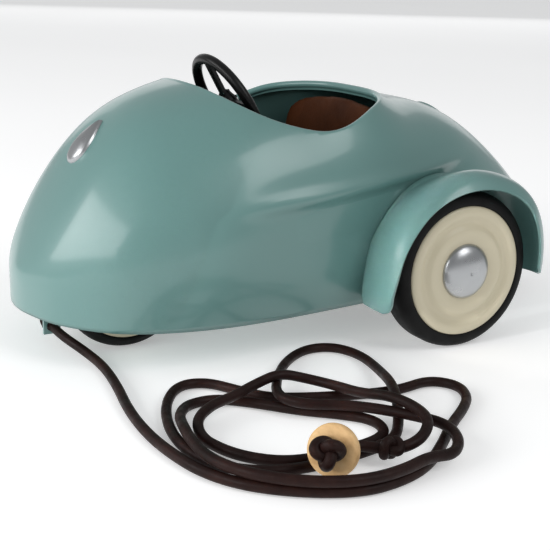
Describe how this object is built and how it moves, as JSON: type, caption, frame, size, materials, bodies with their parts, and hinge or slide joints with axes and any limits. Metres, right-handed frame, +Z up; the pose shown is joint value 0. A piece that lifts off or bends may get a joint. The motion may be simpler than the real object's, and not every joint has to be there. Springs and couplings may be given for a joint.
{
  "type": "pull-along toy car",
  "caption": "Pressed-steel teardrop toy car with free-running disc wheels, turning steering wheel, doll seat and leather tow cord with a bead.",
  "frame": {"origin": "on the floor, under the middle of the car's box without its cord", "axes": "+X forward to the nose, +Y to the car's left, +Z up"},
  "size_m": [0.2372, 0.2335, 0.1051],
  "materials": {
    "body_paint": "glossy aqua enamel",
    "underside": "dark painted steel floor and bulkhead",
    "wheel_paint": "satin cream enamel",
    "tyre": "black rubber",
    "chrome": "polished chrome",
    "steel": "plain steel rod and fasteners",
    "steering_black": "black moulded steering wheel",
    "leather": "brown leather over foam",
    "cord_leather": "dark brown round leather cord",
    "bead_wood": "plain turned wood"
  },
  "bodies": {
    "car": {"body_shell": "body_paint", "fender_left": "body_paint", "fender_right": "body_paint", "tow_tab": "body_paint", "floor_pan": "underside", "bulkhead": "underside", "seat_frame": "underside", "rear_axle_bracket": "underside", "front_axle_bracket": "underside", "hood_ornament": "chrome", "rear_axle": "steel", "front_axle": "steel", "rear_axle_nuts": "steel", "front_axle_nuts": "steel", "rear_axle_collars": "steel", "front_axle_collars": "steel", "column_bush": "steel", "seat_rivets": "steel", "bulkhead_rivets": "steel", "bracket_rivets": "steel", "tow_tab_rivet": "steel", "seat_base": "leather", "seat_back": "leather", "cord_lead": "cord_leather", "cord_coil": "cord_leather", "cord_knot_end": "cord_leather", "cord_knot_inner": "cord_leather", "cord_knot_anchor": "cord_leather", "cord_bead": "bead_wood"},
    "rear_left_wheel": {"rear_left_tyre": "tyre", "rear_left_disc_outer": "wheel_paint", "rear_left_disc_inner": "wheel_paint", "rear_left_hub": "steel", "rear_left_hubcap": "chrome"},
    "rear_right_wheel": {"rear_right_tyre": "tyre", "rear_right_disc_outer": "wheel_paint", "rear_right_disc_inner": "wheel_paint", "rear_right_hub": "steel", "rear_right_hubcap": "chrome"},
    "front_left_wheel": {"front_left_tyre": "tyre", "front_left_disc_outer": "wheel_paint", "front_left_disc_inner": "wheel_paint", "front_left_hub": "steel", "front_left_hubcap": "chrome"},
    "front_right_wheel": {"front_right_tyre": "tyre", "front_right_disc_outer": "wheel_paint", "front_right_disc_inner": "wheel_paint", "front_right_hub": "steel", "front_right_hubcap": "chrome"},
    "steering": {"steering_rim": "steering_black", "steering_spokes": "steering_black", "steering_hub": "steering_black", "steering_collar": "steering_black", "steering_cap": "chrome", "steering_column": "steel", "column_clip": "steel"}
  },
  "joints": [
    {"name": "rear_left_spin", "type": "hinge", "parent": "car", "child": "rear_left_wheel", "pos_m": [-0.0306, 0.0644, 0.03], "axis": [0, 1, 0], "continuous": true},
    {"name": "rear_right_spin", "type": "hinge", "parent": "car", "child": "rear_right_wheel", "pos_m": [-0.0306, -0.0644, 0.03], "axis": [0, 1, 0], "continuous": true},
    {"name": "front_left_spin", "type": "hinge", "parent": "car", "child": "front_left_wheel", "pos_m": [0.0819, 0.0134, 0.024], "axis": [0, 1, 0], "continuous": true},
    {"name": "front_right_spin", "type": "hinge", "parent": "car", "child": "front_right_wheel", "pos_m": [0.0819, -0.0134, 0.024], "axis": [0, 1, 0], "continuous": true},
    {"name": "steering_turn", "type": "hinge", "parent": "car", "child": "steering", "pos_m": [0.033, 0, 0.0862], "axis": [-0.866, 0, 0.5], "continuous": true}
  ]
}
